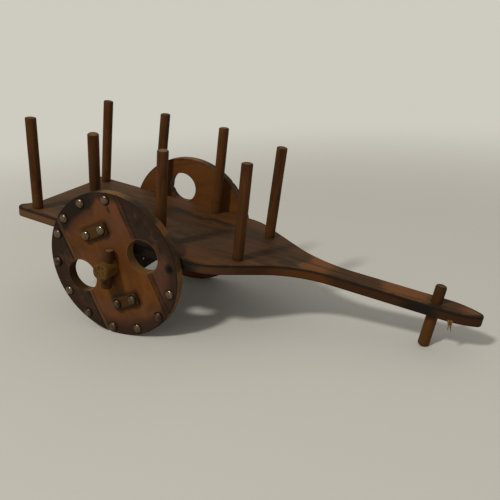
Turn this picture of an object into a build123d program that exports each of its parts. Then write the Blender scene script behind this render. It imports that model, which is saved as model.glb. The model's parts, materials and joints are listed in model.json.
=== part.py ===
from build123d import *
import os
from math import asin, atan, atan2, cos, degrees, hypot, radians, sin, tan

# Wooden model ox cart. One plank is both the bed and the pole, dowel stakes stand around the bed,
# a square axle beam runs under it, and two disc wheels turn on the beam's whittled ends.
# All sizes are in millimetres.
# Ground frame: +X forward along the pole, +Y left, +Z up, z = 0 on the floor.
# Bed frame: x forward from the bed's rear edge, y left, z square to the plank from its top face.
# The cart rests on its wheels and on the peg through the pole's tip, so the bed frame is nose down.

# Plank: the bed with its rear ears, the shoulders, the hand-sawn neck and the pole
plank_length = 342.7
plank_thickness = 8.0
plank_ease = 1.2
bed_width = 101.0
ear_reach = 6.0
ear_start = 26.0
ear_corner = 5.0
left_side_length = 150.5
right_side_length = 148.2
shoulder_radius = 33.0
left_neck_angle = 32.0
right_neck_angle = 37.0
left_neck_radius = 95.0
right_neck_radius = 75.0
left_pole_reach = 9.5
right_pole_reach = 8.3
nose_length = 24.0
tip_radius = 4.0

# Dowel stakes: three rows stand along the bed's sides, and a front row inside the taper
stake_diameter = 8.0
stake_height = 71.4
stake_ease = 0.8
stake_foot_diameter = 7.2
stake_foot_recess = 0.4
stake_first = 9.1
stake_pitch = 55.9
stake_inset = 7.8
front_stake_ahead = 27.0
front_stake_inset = 24.6

# Leans of the stakes from the rear to the front: columns are degrees outwards and degrees back
stake_leans = {
    "left": ((2.6, 1.0), (2.9, 0.1), (1.4, 0.5), (1.6, 0.3)),
    "right": ((2.6, 1.1), (2.9, 0.7), (1.4, 0.7), (1.6, 0.3)),
}

# Peg through the pole, leaning a little forward: the front foot below, the draught pin above
peg_from_tip = 31.0
peg_lean = 1.9
peg_diameter = 8.0
peg_below = 34.0
peg_foot_ease = 1.0
pin_diameter = 7.6
pin_height = 12.5
pin_ease = 1.4

# Axle beam, its round ends and the linchpins
axle_x = 91.5
beam_size = 21.3
beam_ease = 1.0
spindle_diameter = 13.0
spindle_overhang = 13.5
spindle_chamfer = 0.9
linchpin_diameter = 8.0
linchpin_length = 30.5
linchpin_ease = 0.6

# Wheels: columns are the side's name, the outward way along Y, the turn of the planks at rest
wheel_rows = (
    ("right", -1, 20.8),
    ("left", 1, 83.2),
)
wheel_diameter = 110.5
wheel_thickness = 7.5
wheel_ease = 0.7
wheel_hole_diameter = 25.4
wheel_hole_reach = 30.0
groove_width = 4.2
groove_depth = 1.5

# Slats nailed across the middle plank, one on each side of the hub
slat_reach = 27.5
slat_length = 23.0
slat_width = 8.8
slat_thickness = 3.0
slat_corner = 1.2
slat_ease = 0.7

# Dome tacks: hand-set angles around each rim, from the line across the planks
tack_diameter = 7.5
tack_height = 2.4
tack_inset = 5.25
tack_angles = {
    "right": (66.7, 92.8, 117.6, 135, 161.2, 189.2, 215, 242.1, 268.1, 295.3, 321.2),
    "left": (12, 38, 64, 91, 116, 141, 168, 193, 219, 245, 270, 297, 322, 347),
}
slat_tack_spacing = 15.0

# Clearances
glue_gap = 0.05
running_gap = 0.1
side_play = 0.5
wheel_gap = 1.5

# Plank outline, worked out so that every arc runs into the next
half_bed = bed_width / 2
ear_rise = half_bed - ear_corner - ear_start
ear_turn = 2 * degrees(atan(ear_reach / ear_rise))
flare_radius = ear_rise / sin(radians(ear_turn)) - ear_corner

# Resting pose: the floor touches both wheels and the rounded rim of the peg's lower end
wheel_radius = wheel_diameter / 2
axle_drop = plank_thickness + beam_size / 2
peg_x = plank_length - peg_from_tip
peg_tilt = radians(peg_lean)
rim_reach = peg_diameter / 2 - peg_foot_ease
rim_depth = peg_below - peg_foot_ease
rim_ahead = peg_x + rim_reach * cos(peg_tilt) - rim_depth * sin(peg_tilt) - axle_x
rim_below = rim_depth * cos(peg_tilt) + rim_reach * sin(peg_tilt) - axle_drop
pitch = asin((wheel_radius - peg_foot_ease) / hypot(rim_ahead, rim_below)) - atan2(rim_below, rim_ahead)

# Bed frame in the ground frame, set so that the whole cart is centred along X
rear_end = (plank_ease - ear_reach) * cos(pitch) + (plank_ease - plank_thickness) * sin(pitch) - plank_ease
front_end = (plank_length - plank_ease) * cos(pitch) - plank_ease * sin(pitch) + plank_ease
bed_origin_x = -(rear_end + front_end) / 2
bed_origin_z = wheel_radius + axle_x * sin(pitch) + axle_drop * cos(pitch)
bed_plane = Plane(
    origin=(bed_origin_x, 0, bed_origin_z),
    x_dir=(cos(pitch), 0, -sin(pitch)),
    z_dir=(sin(pitch), 0, cos(pitch)),
)
axle_center = bed_plane.from_local_coords(Vector(axle_x, 0, -axle_drop))

# Places across the cart
wheel_inner_y = half_bed + wheel_gap
wheel_outer_y = wheel_inner_y + wheel_thickness
beam_end_y = wheel_inner_y - side_play
spindle_end_y = wheel_outer_y + spindle_overhang
linchpin_y = wheel_outer_y + side_play + linchpin_diameter / 2


def leaning(x, y, outwards, back, way):
    """Plane on the bed's top face at a dowel's foot, with z along the leaning dowel."""
    return Plane(bed_plane.location * Location((x, way * y, 0), (-way * outwards, -back, 0)))


def stake_seats(side, way, side_length):
    """Node, leaning plane and shoulder height of each stake on one side, from rear to front."""
    feet = [(stake_first + row * stake_pitch, half_bed - stake_inset) for row in range(3)]
    feet.append((side_length + front_stake_ahead, half_bed - front_stake_inset))
    seats = []
    for row, ((x, y), (outwards, back)) in enumerate(zip(feet, stake_leans[side]), start=1):
        slope = hypot(tan(radians(outwards)), tan(radians(back)))
        seats.append((f"stake_{side}_{row}", leaning(x, y, outwards, back, way), stake_diameter / 2 * slope))
    return seats


stakes = stake_seats("left", 1, left_side_length) + stake_seats("right", -1, right_side_length)
peg_seat = leaning(peg_x, 0, 0, -peg_lean, 1)
peg_lift = peg_diameter / 2 * tan(peg_tilt)


def half_outline(way, side_length, neck_angle, neck_radius, pole_reach):
    """Draw one half of the plank's outline, from the middle of the rear edge to the tip."""
    taper_drop = half_bed - pole_reach - (shoulder_radius + neck_radius) * (1 - cos(radians(neck_angle)))
    taper_run = taper_drop / tan(radians(neck_angle))
    nose_turn = 2 * degrees(atan((pole_reach - tip_radius) / (nose_length - tip_radius)))
    nose_radius = (nose_length - tip_radius) / sin(radians(nose_turn)) + tip_radius
    rear_edge = Line((0, 0), (0, way * ear_start))
    ear_flare = JernArc(rear_edge @ 1, (0, way), flare_radius, way * ear_turn)
    ear_round = JernArc(ear_flare @ 1, ear_flare % 1, ear_corner, -way * (90 + ear_turn))
    bed_side = Line(ear_round @ 1, (side_length, way * half_bed))
    shoulder = JernArc(bed_side @ 1, (1, 0), shoulder_radius, -way * neck_angle)
    taper = Line(shoulder @ 1, shoulder @ 1 + Vector(taper_run, -way * taper_drop))
    neck_curve = JernArc(taper @ 1, taper % 1, neck_radius, way * neck_angle)
    pole_side = Line(neck_curve @ 1, (plank_length - nose_length, way * pole_reach))
    nose = JernArc(pole_side @ 1, (1, 0), nose_radius, -way * nose_turn)
    JernArc(nose @ 1, nose % 1, tip_radius, -way * (90 - nose_turn))


def save(piece, node):
    """Label a finished piece and write it as its own node."""
    piece.part.label = node
    export_step(piece.part, f"parts/{node}.step")


os.makedirs("parts", exist_ok=True)

# Bed board: the plank, drilled for the stakes and the peg
with BuildPart() as bed_board:
    with BuildSketch(bed_plane):
        with BuildLine():
            half_outline(1, left_side_length, left_neck_angle, left_neck_radius, left_pole_reach)
            half_outline(-1, right_side_length, right_neck_angle, right_neck_radius, right_pole_reach)
        make_face()
    extrude(amount=-plank_thickness)
    fillet(bed_board.faces().filter_by(bed_plane).edges(), plank_ease)
    with BuildSketch(*(seat for _, seat, _ in stakes)):
        Circle(stake_foot_diameter / 2 + glue_gap)
    extrude(amount=2 * plank_thickness, both=True, mode=Mode.SUBTRACT)
    with BuildSketch(peg_seat):
        Circle(peg_diameter / 2 + glue_gap)
    extrude(amount=2 * plank_thickness, both=True, mode=Mode.SUBTRACT)
save(bed_board, "bed_board")

# Stakes: each shaft stands on the bed, and its shaved foot is glued into the plank
stake_foot_depth = plank_thickness - stake_foot_recess
for node, seat, shoulder_lift in stakes:
    with BuildPart() as stake:
        with BuildSketch(seat.offset(-stake_foot_depth)):
            Circle(stake_foot_diameter / 2)
        extrude(amount=stake_foot_depth + shoulder_lift)
        with BuildSketch(seat.offset(shoulder_lift)):
            Circle(stake_diameter / 2)
        extrude(amount=stake_height - shoulder_lift)
        top = stake.faces().sort_by(Axis(seat.origin, seat.z_dir))[-1]
        fillet(top.edges(), stake_ease)
    save(stake, node)

# Pole peg: driven in from below, with a slimmer draught pin standing above the pole
with BuildPart() as pole_peg:
    with BuildSketch(peg_seat.offset(-peg_below)):
        Circle(peg_diameter / 2)
    extrude(amount=peg_below + peg_lift)
    with BuildSketch(peg_seat.offset(peg_lift)):
        Circle(pin_diameter / 2)
    extrude(amount=pin_height - peg_lift)
    peg_axis = Axis(peg_seat.origin, peg_seat.z_dir)
    fillet(pole_peg.faces().sort_by(peg_axis)[0].edges(), peg_foot_ease)
    fillet(pole_peg.faces().sort_by(peg_axis)[-1].edges(), pin_ease)
save(pole_peg, "pole_peg")

# Axle: a square beam under the bed, with round ends that carry the wheels and the linchpins
axle_plane = Plane(origin=axle_center, x_dir=bed_plane.x_dir, z_dir=(0, -1, 0))
pin_seats = [
    Plane(axle_plane.location * Location((0, 0, way * linchpin_y), (-90, 0, 0)))
    for way in (1, -1)
]
with BuildPart() as axle:
    with BuildSketch(axle_plane):
        RectangleRounded(beam_size, beam_size, beam_ease)
    extrude(amount=beam_end_y, both=True)
    with BuildSketch(axle_plane):
        Circle(spindle_diameter / 2)
    extrude(amount=spindle_end_y, both=True)
    for spindle_end in (axle.faces().sort_by(Axis.Y)[0], axle.faces().sort_by(Axis.Y)[-1]):
        chamfer(spindle_end.edges(), spindle_chamfer)
    with BuildSketch(*pin_seats):
        Circle(linchpin_diameter / 2 + glue_gap)
    extrude(amount=spindle_diameter, both=True, mode=Mode.SUBTRACT)
save(axle, "axle")

# Linchpins: short dowels square to the bed, through the axle's ends outside the wheels
for side, seat in zip(("right", "left"), pin_seats):
    with BuildPart() as linchpin:
        with BuildSketch(seat):
            Circle(linchpin_diameter / 2)
        extrude(amount=linchpin_length / 2, both=True)
        fillet(linchpin.edges().filter_by(GeomType.CIRCLE), linchpin_ease)
    save(linchpin, f"linchpin_{side}")

# One dome tack, its flat underside at the origin
with BuildPart() as tack:
    with BuildSketch(Plane.XZ):
        with BuildLine():
            underside = Line((0, 0), (tack_diameter / 2, 0))
            dome = RadiusArc(
                underside @ 1,
                (0, tack_height),
                -((tack_diameter / 2) ** 2 + tack_height**2) / (2 * tack_height),
            )
            Line(dome @ 1, (0, 0))
        make_face()
    revolve(axis=Axis.Z)

for side, way, turn in wheel_rows:
    # Wheel plane: x across the planks, y along them, z outwards from the inner face
    unturned = Plane(
        origin=(axle_center.X, way * wheel_inner_y, axle_center.Z),
        x_dir=(-way, 0, 0),
        z_dir=(0, way, 0),
    )
    hub = Plane(unturned.location * Location((0, 0, 0), (0, 0, turn)))
    outer_face = hub.offset(wheel_thickness)
    groove_section = Plane(origin=outer_face.origin, x_dir=outer_face.x_dir, z_dir=outer_face.y_dir)

    # Wheel: a disc with an eased rim, two carved plank lines, two round holes and the bore
    with BuildPart() as wheel:
        with BuildSketch(hub):
            Circle(wheel_radius)
        extrude(amount=wheel_thickness)
        fillet(wheel.edges().filter_by(GeomType.CIRCLE), wheel_ease)
        with BuildSketch(groove_section):
            with Locations((-wheel_hole_reach, 0), (wheel_hole_reach, 0)):
                Polygon((-groove_width / 2, 0), (groove_width / 2, 0), (0, groove_depth), align=None)
        extrude(amount=wheel_radius, both=True, mode=Mode.SUBTRACT)
        with BuildSketch(hub):
            with Locations((-wheel_hole_reach, 0), (wheel_hole_reach, 0)):
                Circle(wheel_hole_diameter / 2)
            Circle(spindle_diameter / 2 + running_gap)
        extrude(amount=wheel_thickness, mode=Mode.SUBTRACT)
    save(wheel, f"wheel_{side}")

    # Slats across the middle plank
    for number, reach in enumerate((slat_reach, -slat_reach), start=1):
        with BuildPart() as slat:
            with BuildSketch(outer_face):
                with Locations((0, reach)):
                    RectangleRounded(slat_length, slat_width, slat_corner)
            extrude(amount=slat_thickness)
            fillet(slat.faces().sort_by(Axis(hub.origin, hub.z_dir))[-1].edges(), slat_ease)
        save(slat, f"slat_{side}_{number}")

    # Tacks around the rim, and two on each slat
    tack_circle = wheel_radius - tack_inset
    rim_places = [
        (tack_circle * cos(radians(angle)), tack_circle * sin(radians(angle)), 0)
        for angle in tack_angles[side]
    ]
    slat_places = [
        (across * slat_tack_spacing / 2, along * slat_reach, slat_thickness)
        for across in (-1, 1)
        for along in (-1, 1)
    ]
    with BuildPart() as tacks:
        with Locations(*(outer_face.location * Location(place) for place in rim_places + slat_places)):
            add(tack.part)
    save(tacks, f"tacks_{side}")
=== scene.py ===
import json
from collections import namedtuple
from itertools import product
from math import cos, pi, radians, sin
from types import SimpleNamespace

import bpy
import numpy as np
from bpy.props import FloatProperty, FloatVectorProperty, IntProperty, PointerProperty
from mathutils import Euler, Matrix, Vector, noise


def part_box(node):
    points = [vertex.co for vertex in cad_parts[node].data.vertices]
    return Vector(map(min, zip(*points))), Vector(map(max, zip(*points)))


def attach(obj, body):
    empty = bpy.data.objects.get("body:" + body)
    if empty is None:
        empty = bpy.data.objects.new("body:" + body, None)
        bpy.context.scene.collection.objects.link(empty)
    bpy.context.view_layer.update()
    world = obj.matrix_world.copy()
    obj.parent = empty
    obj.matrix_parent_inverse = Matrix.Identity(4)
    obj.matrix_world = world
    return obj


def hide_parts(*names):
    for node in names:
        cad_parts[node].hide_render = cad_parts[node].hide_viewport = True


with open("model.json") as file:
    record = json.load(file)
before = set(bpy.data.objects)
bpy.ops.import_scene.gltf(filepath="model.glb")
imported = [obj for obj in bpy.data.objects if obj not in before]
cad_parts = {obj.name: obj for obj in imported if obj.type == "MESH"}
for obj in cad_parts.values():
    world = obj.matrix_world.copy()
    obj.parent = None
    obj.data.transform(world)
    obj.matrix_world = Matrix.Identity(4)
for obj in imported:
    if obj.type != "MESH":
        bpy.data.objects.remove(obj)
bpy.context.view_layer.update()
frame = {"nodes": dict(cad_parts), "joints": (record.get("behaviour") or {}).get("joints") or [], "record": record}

bl_info = {
    "name": "Model ox cart finishes",
    "version": (1, 0, 0),
    "blender": (4, 5, 0),
    "location": "3D View > Sidebar > Ox cart",
    "description": "Burnt and varnished wood, dome tacks and a plain studio for a wooden model ox cart",
    "category": "Object",
}

# Places and directions that the pieces and finishes share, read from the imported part
MM = 1000.0
ACROSS = Vector((0, 1, 0))
SIDES = {"right": -1, "left": 1}
MOUNTS = {mount["name"]: mount for mount in frame["record"]["mounts"]}
HUB = next(Vector(joint["pos_m"]) for joint in frame["joints"] if joint["child"] == "wheel_right")
FACES = {side: max(abs(corner.y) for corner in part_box(f"wheel_{side}")) for side in SIDES}


def bed_directions():
    """The plank's forward and upward directions, from the area of its level faces."""
    up = Vector()
    for face in frame["nodes"]["bed_board"].data.polygons:
        if face.normal.z > 0.9:
            up += face.normal * face.area
    up.normalize()
    return ACROSS.cross(up), up


BED_FORWARD, BED_UP = bed_directions()


def tone(red, green, blue):
    """A colour as it looks on a screen, 0 to 255, in the linear values that Blender keeps."""
    channels = []
    for level in (red / 255, green / 255, blue / 255):
        channels.append(level / 12.92 if level <= 0.04045 else ((level + 0.055) / 1.055) ** 2.4)
    return (*channels, 1.0)


def colour(name, description, *levels):
    """A colour property that starts at a screen colour."""
    return FloatVectorProperty(
        name=name, description=description, subtype="COLOR", size=4, min=0, max=1, default=tone(*levels)
    )


def length(name, description, metres):
    """A length property."""
    return FloatProperty(
        name=name, description=description, default=metres, min=0, unit="LENGTH", precision=4
    )


class CartSizes(bpy.types.PropertyGroup):
    """Sizes of the pieces that this add-on makes"""

    axle_ahead: length("Axle from rear", "Axle's place along the plank, from its rear edge", 0.0915)
    axle_drop: length("Axle drop", "Axle's depth below the plank's top face", 0.01865)
    plank_length: length("Plank length", "From the rear edge to the pole's tip", 0.3427)
    plank_depth: length("Plank thickness", "Thickness of the plank", 0.008)
    stake_height: length("Stake height", "Stake above the plank", 0.0714)
    stake_foot: length("Stake foot", "Depth of the glued foot", 0.0076)
    stake_foot_radius: length("Stake foot radius", "Radius of the shaved foot", 0.0036)
    dowel_ease: length("Dowel ease", "Rounding of a dowel's cut end", 0.0008)
    peg_below: length("Peg below", "Peg below the plank's top face", 0.034)
    peg_radius: length("Peg radius", "Radius of the peg below the pole", 0.004)
    pin_height: length("Pin height", "Draught pin above the plank's top face", 0.0125)
    linchpin_length: length("Linchpin length", "Length of each linchpin", 0.0305)
    linchpin_radius: length("Linchpin radius", "Radius of each linchpin", 0.004)
    beam_half: length("Beam half width", "Half of the axle beam's width", 0.01065)
    spindle_radius: length("Axle end radius", "Radius of the axle's round ends", 0.0065)
    wheel_radius: length("Wheel radius", "Radius of the wheels", 0.05525)
    wheel_depth: length("Wheel thickness", "Thickness of the wheels", 0.0075)
    hole_radius: length("Hole radius", "Radius of a wheel's round holes", 0.0127)
    plank_line: length("Plank line", "Distance of the carved lines and holes from the hub", 0.03)
    line_half: length("Line half width", "Half of a carved line's width", 0.0021)
    slat_reach: length("Slat reach", "Distance of the slats from the hub", 0.0275)
    slat_length: length("Slat length", "Length of a slat", 0.023)
    slat_width: length("Slat width", "Width of a slat", 0.0088)
    slat_depth: length("Slat thickness", "Thickness of a slat", 0.003)
    tack_radius: length("Tack radius", "Radius of a tack's dome", 0.00375)
    tack_height: length("Tack height", "Height of a tack's dome", 0.0024)
    tack_circle: length("Tack circle", "Distance of the rim's tacks from the hub", 0.05)
    tack_spacing: length("Slat tack spacing", "Distance between the two tacks on a slat", 0.015)
    dowel_sides: IntProperty(
        name="Dowel sides", description="Faces around a dowel", default=40, min=12, max=96
    )


class CartFinish(bpy.types.PropertyGroup):
    """Colours of the cart's finishes"""

    # Besides burn, this tone paints shade on the plank beside the right wheel, on its sides beside the wheels and
    # in the carved lines right of a hub
    burnt: colour("Burnt", "Torch-burnt edges", 25, 20, 15)
    scorched: colour("Scorched", "Half burnt wood", 47, 30, 21)
    heart: colour("Wheel middle", "Middle plank of a wheel", 94, 55, 21)
    heart_deep: colour("Wheel middle, deep", "Darker streaks of the middle plank", 72, 42, 15)
    segment: colour("Wheel sides", "Side planks of a wheel", 55, 40, 30)
    rosy: colour("Rosy brown", "Rosy zones of the wheels and the bed", 90, 56, 40)
    smoked: colour("Smoked", "Smoke marks on the wheels' side planks and treads", 28, 25, 18)
    # Besides burn and stain, this brown paints shade: beside the slats, on the lower slats and on the holes' walls
    halo: colour("Slat outline", "Brown outline around the slats and the hub", 42, 25, 10)
    inner: colour("Wheel inside", "Inner face of a wheel", 92, 55, 22)
    tread: colour("Tread", "Rim and hole walls", 112, 82, 46)
    groove: colour("Carved line", "Bottom of the carved lines", 72, 46, 24)
    plank_rear: colour("Plank, rear", "Top of the plank at the rear", 61, 48, 32)
    plank_mid: colour("Plank, middle", "Top of the plank at the axle", 54, 35, 17)
    # This tone also paints the shade on the axle under the bed
    plank_dark: colour("Plank, dark", "Scorched top of the plank", 45, 34, 21)
    plank_tan: colour("Plank, tan", "Bare patches of the neck and pole", 100, 62, 31)
    # This tone also paints light on the floors of the carved lines left of a wheel's hub
    side_light: colour("Side, light", "Sides of the plank at the rear", 86, 60, 37)
    side_mid: colour("Side, middle", "Sides of the shoulders", 70, 47, 29)
    side_red: colour("Side, red", "Sides of the neck", 76, 43, 17)
    side_deep: colour("Side, deep", "Darker sides of the neck and tip", 54, 32, 15)
    stake: colour("Stakes", "Stained dowels", 77, 47, 21)
    stake_dark: colour("Stakes, dark", "Dark streaks of the dowels", 55, 32, 13)
    peg: colour("Peg", "Peg through the pole", 71, 52, 23)
    end_grain: colour("End grain", "Cut ends of the dowels", 112, 85, 58)
    raw: colour("Raw wood", "Whittled axle", 88, 62, 22)
    slat: colour("Slats", "Slats on the wheels", 64, 43, 17)
    metal: colour("Tacks", "Plated tack heads", 120, 102, 82)
    nail: colour("Nails", "Nail heads on the beam", 200, 194, 182)
    tarnish: colour("Tarnish", "Tarnished and stained tack heads", 60, 44, 31)
    splinter: colour("Splinters", "Torn fibres under the pole", 106, 80, 40)


class CartStage(bpy.types.PropertyGroup):
    """Floor, light and camera"""

    floor: colour("Floor", "Colour of the floor", 184, 181, 172)
    backdrop: colour("Backdrop", "Colour of the backdrop", 206, 203, 193)
    floor_radius: length("Floor radius", "Radius of the floor", 2.4)
    fade_start: length("Fade start", "Where the floor starts to fade into the backdrop", 0.26)
    lamp_power: FloatProperty(name="Lamp", description="Power of the ceiling lamp", default=33, unit="POWER")
    lamp_size: length("Lamp size", "Width of the ceiling lamp", 0.28)
    room_light: FloatProperty(name="Room light", description="Strength of the room's own light", default=0.52)
    lens: FloatProperty(
        name="Lens", description="Focal length on a 36 mm sensor", default=43.371, unit="CAMERA"
    )
    camera_place: FloatVectorProperty(
        name="Camera place", description="Where the camera stands", subtype="TRANSLATION", unit="LENGTH",
        default=(0.189986, -0.380555, 0.214508),
    )
    camera_turn: FloatVectorProperty(
        name="Camera turn", description="How the camera is turned", subtype="EULER", unit="ROTATION",
        default=tuple(radians(angle) for angle in (69.35311, 2.85603, 24.81513)),
    )


def arithmetic(operation):
    """An operator on sockets and its reflected form, which add a Math node."""
    return (
        lambda self, other: self.math(operation, self, other),
        lambda self, other: self.math(operation, other, self),
    )


class Flow:
    """A socket in a node tree. Arithmetic on it adds Math nodes."""

    __add__, __radd__ = arithmetic("ADD")
    __sub__, __rsub__ = arithmetic("SUBTRACT")
    __mul__, __rmul__ = arithmetic("MULTIPLY")
    __truediv__, __rtruediv__ = arithmetic("DIVIDE")
    __pow__, __rpow__ = arithmetic("POWER")

    def __init__(self, tree, socket):
        self.tree = tree
        self.socket = socket

    def add(self, kind, settings=None, sockets=None, output=0):
        """Add any node: its settings first, then the values or links of its sockets."""
        node = self.tree.nodes.new(kind)
        for name, value in (settings or {}).items():
            if name == "stops":
                elements = node.color_ramp.elements
                elements[0].position, elements[0].color = value[0]
                elements[1].position, elements[1].color = value[-1]
                for position, stop_colour in value[1:-1]:
                    elements.new(position).color = stop_colour
            elif name == "stop_blend":
                node.color_ramp.interpolation = value
            else:
                setattr(node, name, value)
        for key, value in (sockets or {}).items():
            if isinstance(value, Flow):
                self.tree.links.new(value.socket, node.inputs[key])
            else:
                node.inputs[key].default_value = value
        return Flow(self.tree, node.outputs[output]) if node.outputs else None

    def math(self, operation, *values):
        return self.add("ShaderNodeMath", {"operation": operation}, dict(enumerate(values)))

    def __abs__(self):
        return self.math("ABSOLUTE", self)

    def least(self, other):
        return self.math("MINIMUM", self, other)

    def most(self, other):
        return self.math("MAXIMUM", self, other)

    def rise(self, low, high):
        """0 below low, 1 above high, and a soft step between them."""
        return self.add(
            "ShaderNodeMapRange",
            {"interpolation_type": "SMOOTHSTEP"},
            {"Value": self, "From Min": low, "From Max": high},
        )

    def fall(self, low, high):
        """1 below low, 0 above high, and a soft step between them."""
        return 1 - self.rise(low, high)

    def between(self, start, end):
        """1 between two soft steps, each given by where it starts and ends."""
        return self.rise(*start) * self.fall(*end)

    def mix(self, first, second, mode="MIX"):
        """Two colours mixed by this value."""
        return self.add(
            "ShaderNodeMix", {"data_type": "RGBA", "blend_type": mode}, {0: self, 6: first, 7: second}, 2
        )

    def coat(self, paint, mask, mode="MIX"):
        """This colour under a paint that shows where the mask is."""
        return mask.mix(self, paint, mode)

    def ramp(self, stops, blend="EASE"):
        """A colour picked from stops of place and colour."""
        return self.add("ShaderNodeValToRGB", {"stop_blend": blend, "stops": stops}, {"Fac": self})

    def vector(self, operation, *values, output=0):
        return self.add("ShaderNodeVectorMath", {"operation": operation}, dict(enumerate(values)), output)

    def along(self, direction):
        """How far this vector reaches along a direction."""
        return self.vector("DOT_PRODUCT", self, direction, output=1)

    def speckle(self, scale, detail, roughness, distortion=0.0):
        """Noise at this place."""
        return self.add("ShaderNodeTexNoise", None, {
            "Vector": self, "Scale": scale, "Detail": detail, "Roughness": roughness,
            "Distortion": distortion,
        })

    def stack(self, second, third):
        """A vector of this value and two others."""
        return self.add("ShaderNodeCombineXYZ", None, {0: self, 1: second, 2: third})


def distance(first, second):
    """The distance that two offsets at right angles make."""
    return (first * first + second * second) ** 0.5


def grain(axes, stretch, detail, roughness, distortion=0.0, shift=0.0):
    """Noise with its own scale along each of three axes, shifted along the first."""
    first, second, third = (axis * scale for axis, scale in zip(axes, stretch))
    if shift:
        first = first + shift
    return first.stack(second, third).speckle(1.0, detail, roughness, distortion)


def start_finish(name):
    """A new material and the place on its surface, in millimetres."""
    material = bpy.data.materials.new(name)
    material.use_nodes = True
    material.node_tree.nodes.clear()
    coordinates = material.node_tree.nodes.new("ShaderNodeTexCoord")
    place = Flow(material.node_tree, coordinates.outputs["Object"])
    return material, place.vector("MULTIPLY", place, (MM,) * 3)


def shade(place, base, roughness, relief, depth, specular=0.5, metallic=0.0):
    """A shader with a colour, a roughness and a relief of a depth in metres."""
    bump = place.add("ShaderNodeBump", None, {"Strength": 1.0, "Distance": depth, "Height": relief})
    return place.add("ShaderNodeBsdfPrincipled", None, {
        "Base Color": base, "Roughness": roughness, "Normal": bump,
        "Specular IOR Level": specular, "Metallic": metallic,
    })


def close_finish(material, shader):
    """The material with a shader joined to its output."""
    shader.add("ShaderNodeOutputMaterial", None, {"Surface": shader})
    return material


def backdrop_seen(place):
    """1 where a camera, mirror or glass ray meets the backdrop, so that its colour lights nothing."""
    rays = place.add("ShaderNodeLightPath", None, None, "Is Camera Ray")
    outputs = rays.socket.node.outputs
    glossy, passing = (Flow(place.tree, outputs[name]) for name in ("Is Glossy Ray", "Is Transmission Ray"))
    return (rays + glossy + passing).least(1.0)


def bed_origin(sizes):
    """The middle of the plank's rear edge, on its top face."""
    return HUB - BED_FORWARD * sizes.axle_ahead + BED_UP * sizes.axle_drop


def bed_coordinates(place, sizes):
    """Millimetres along the plank, across it and up from its top face."""
    offset = place.vector("SUBTRACT", place, bed_origin(sizes) * MM)
    return offset.along(BED_FORWARD), offset.along(ACROSS), offset.along(BED_UP)


def surface_attribute(place, name):
    """A value that a piece's own mesh carries."""
    return place.add("ShaderNodeAttribute", {"attribute_name": name}, None, "Fac")


def dress(node, material):
    """Give a CAD node its finish."""
    slots = frame["nodes"][node].data.materials
    slots.clear()
    slots.append(material)


def linked(name, data):
    """A new object in the scene."""
    item = bpy.data.objects.new(name, data)
    bpy.context.scene.collection.objects.link(item)
    return item


def add_piece(mesh, body, slot_name, *replaced, material=None):
    """A finished piece at the origin that rides on a body and stands for CAD nodes."""
    piece = linked(mesh.name, mesh)
    if material is not None:
        mesh.materials.append(material)
    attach(piece, body)
    if replaced:
        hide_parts(*replaced)


def marked_mesh(name, points, faces, marks, sharp=None):
    """A mesh whose points carry marks, smooth up to an angle in degrees where one is given."""
    mesh = bpy.data.meshes.new(name)
    mesh.from_pydata(points, [], faces)
    for mark, values in marks.items():
        mesh.attributes.new(mark, "FLOAT", "POINT").data.foreach_set("value", values)
    if sharp is not None:
        mesh.shade_smooth()
        mesh.set_sharp_from_angle(angle=radians(sharp))
    return mesh


# In the finishes, noise runs from 0 to 1 around 0.5, places are in millimetres, and a mask's last factor is its
# strength. Of these colours, two lighten the grain and one is painted shade, the dark inside a small hole that the
# mesh does not have.
PALE_GRAIN = (1.5, 1.4, 1.25, 1.0)
WARM_GRAIN = (1.5, 1.35, 1.2, 1.0)
HOLE_SHADE = (0.002, 0.0015, 0.001, 1.0)

# Tones along the plank's top and its sides: columns are the share of its length and the tone
PLANK_TOP = (
    (0.0, "plank_rear"), (0.14, "plank_rear"), (0.28, "plank_mid"), (0.46, "plank_mid"), (0.55, "plank_dark"),
    (0.618, "plank_dark"), (0.642, "plank_tan"), (0.675, "plank_tan"), (0.71, "plank_mid"),
    (0.79, "plank_mid"), (0.82, "plank_tan"), (0.885, "plank_tan"), (0.905, "plank_dark"),
    (0.945, "plank_mid"), (0.98, "plank_tan"),
)
# On the sides, the burnt stretch from 0.24 to 0.43 of the length lies beside the wheels and is partly burn and
# partly painted shade
PLANK_SIDES = (
    (0.0, "side_light"), (0.09, "side_light"), (0.16, "plank_mid"), (0.24, "burnt"), (0.43, "burnt"),
    (0.475, "side_mid"), (0.555, "side_deep"), (0.62, "side_red"), (0.67, "side_red"), (0.72, "side_deep"),
    (0.825, "side_deep"), (0.862, "burnt"), (0.895, "burnt"), (0.925, "side_deep"), (1.0, "side_deep"),
)
# Where the bed ends and where its edge is spared the torch, as shares of the plank's length
BED_END = (0.58, 0.63)
SPARED_EDGE = (0.42, 0.48), (0.62, 0.70)
# Stretches of the bed beside the wheels, the smoke's middle and reach, and a streak's place across the bed
BY_LEFT_WHEEL = (76.0, 100.0), (138.0, 160.0)
BY_RIGHT_WHEEL = (84.0, 98.0), (132.0, 148.0)
SMOKE_PLACE, SMOKE_REACH = (122.0, -12.0), (36.0, 19.0)
STREAK_PLACE = 25.0
OUTLINE_STATIONS = 30


def plank_reach(side, sizes):
    """Ramp stops of the plank's half width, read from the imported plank's outline."""
    origin, depth = bed_origin(sizes), sizes.plank_depth
    outline = {}
    for vertex in frame["nodes"]["bed_board"].data.vertices:
        offset = vertex.co - origin
        x, y, z = offset.dot(BED_FORWARD), offset.y * SIDES[side], offset.dot(BED_UP)
        if x > 0.003 and y > 0 and -0.7 * depth < z < -0.15 * depth:
            outline[round(x, 5)] = max(y, outline.get(round(x, 5), 0))
    places = sorted(outline)
    reach = [outline[x] for x in places]
    stops = []
    for station in np.linspace(0, 1, OUTLINE_STATIONS):
        half = float(np.interp(station * sizes.plank_length, places, reach))
        stops.append((float(station), (half / sizes.plank_length,) * 3 + (1.0,)))
    return stops


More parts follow.
